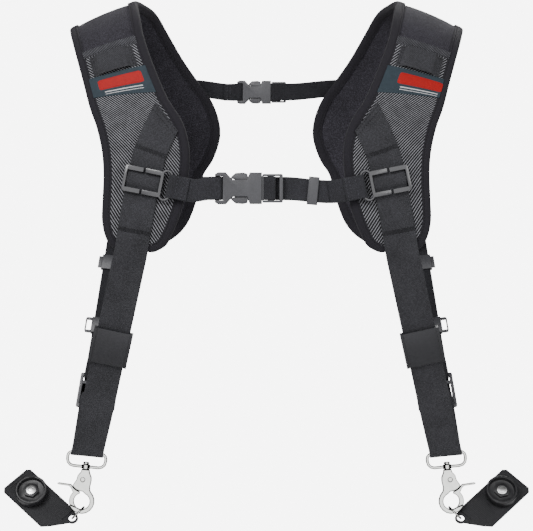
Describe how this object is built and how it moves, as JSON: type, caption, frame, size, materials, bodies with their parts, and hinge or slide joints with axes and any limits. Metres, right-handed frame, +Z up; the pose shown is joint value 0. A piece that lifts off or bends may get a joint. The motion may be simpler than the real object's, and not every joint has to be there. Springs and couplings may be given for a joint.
{
  "type": "dual camera harness",
  "caption": "Worn harness of padded shoulder arches joined by buckled chest and back straps, with webbing straps that end in swivel snap hooks and camera plates.",
  "frame": {"origin": "on the shoulder line, midway between the two pads, level with the undersides of the pads at the shoulder tops", "axes": "+Z up, -Y out of the wearer's chest, +X to the right in a view from the front (the wearer's left side)"},
  "size_m": [0.59, 0.2215, 0.5884],
  "materials": {
    "neoprene": "soft matt neoprene",
    "binding": "woven edge tape",
    "spacer_mesh": "open spacer mesh",
    "webbing": "coarse woven webbing",
    "label": "plain woven patch",
    "moulded": "moulded, fine grained",
    "slider": "smooth, satin gloss",
    "stopper": "moulded, matt",
    "nickel": "bright plated",
    "rubber": "hard matt rubber",
    "steel": "bright steel"
  },
  "bodies": {
    "harness": {"shoulder_pad_left": "neoprene", "edge_binding_left": "binding", "mesh_panel_left": "spacer_mesh", "panel_hem_left": "webbing", "label_patch_left": "label", "utility_loop_left": "webbing", "carry_strap_left": "webbing", "rear_strap_left": "webbing", "rear_adjuster_left": "stopper", "rear_slide_left": "stopper", "rear_keeper_left": "stopper", "chest_slider_left": "slider", "shoulder_pad_right": "neoprene", "edge_binding_right": "binding", "mesh_panel_right": "spacer_mesh", "panel_hem_right": "webbing", "label_patch_right": "label", "utility_loop_right": "webbing", "carry_strap_right": "webbing", "rear_strap_right": "webbing", "rear_adjuster_right": "stopper", "rear_slide_right": "stopper", "rear_keeper_right": "stopper", "chest_slider_right": "slider", "chest_strap_left": "webbing", "chest_strap_right": "webbing", "chest_buckle_female": "moulded", "chest_buckle_male": "moulded", "chest_keeper": "moulded", "back_strap_left": "webbing", "back_strap_right": "webbing", "back_buckle_female": "moulded", "back_buckle_male": "moulded"},
    "stopper_left": {"strap_stopper_left": "stopper"},
    "loop_left": {"swivel_loop_left": "nickel"},
    "hook_left": {"snap_hook_left": "nickel", "plate_ring_left": "nickel", "camera_plate_left": "rubber"},
    "trigger_left": {"hook_trigger_left": "nickel"},
    "screw_left": {"screw_disc_left": "rubber", "camera_screw_left": "steel"},
    "stopper_right": {"strap_stopper_right": "stopper"},
    "loop_right": {"swivel_loop_right": "nickel"},
    "hook_right": {"snap_hook_right": "nickel", "plate_ring_right": "nickel", "camera_plate_right": "rubber"},
    "trigger_right": {"hook_trigger_right": "nickel"},
    "screw_right": {"screw_disc_right": "rubber", "camera_screw_right": "steel"}
  },
  "joints": [
    {"name": "stopper_slide_left", "type": "slide", "parent": "harness", "child": "stopper_left", "axis": [0.2226, -0.2955, 0.929], "range_m": [-0.045, 0.03]},
    {"name": "loop_swing_left", "type": "hinge", "parent": "harness", "child": "loop_left", "pos_m": [-0.1996, -0.022, -0.4826], "axis": [0.9954, 0, -0.0958], "range_deg": [-45, 45]},
    {"name": "hook_swivel_left", "type": "hinge", "parent": "loop_left", "child": "hook_left", "pos_m": [-0.1996, -0.022, -0.4826], "axis": [-0.0958, 0, -0.9954], "continuous": true},
    {"name": "hook_trigger_left", "type": "hinge", "parent": "hook_left", "child": "trigger_left", "pos_m": [-0.20434, -0.022, -0.51208], "axis": [0, -1, 0], "range_deg": [0, 8], "stiffness_Nm_per_rad": 0.02, "springref_deg": -20.05},
    {"name": "screw_turn_left", "type": "hinge", "parent": "hook_left", "child": "screw_left", "pos_m": [-0.26317, -0.00814, -0.52977], "axis": [0.0002, 0.8, -0.6], "continuous": true},
    {"name": "stopper_slide_right", "type": "slide", "parent": "harness", "child": "stopper_right", "axis": [-0.2226, -0.2955, 0.929], "range_m": [-0.045, 0.03]},
    {"name": "loop_swing_right", "type": "hinge", "parent": "harness", "child": "loop_right", "pos_m": [0.1996, -0.022, -0.4826], "axis": [0.9954, 0, 0.0958], "range_deg": [-45, 45]},
    {"name": "hook_swivel_right", "type": "hinge", "parent": "loop_right", "child": "hook_right", "pos_m": [0.1996, -0.022, -0.4826], "axis": [-0.0958, 0, 0.9954], "continuous": true},
    {"name": "hook_trigger_right", "type": "hinge", "parent": "hook_right", "child": "trigger_right", "pos_m": [0.20434, -0.022, -0.51208], "axis": [0, 1, 0], "range_deg": [0, 8], "stiffness_Nm_per_rad": 0.02, "springref_deg": -20.05},
    {"name": "screw_turn_right", "type": "hinge", "parent": "hook_right", "child": "screw_right", "pos_m": [0.26317, -0.00814, -0.52977], "axis": [0.0002, -0.8, 0.6], "continuous": true}
  ]
}
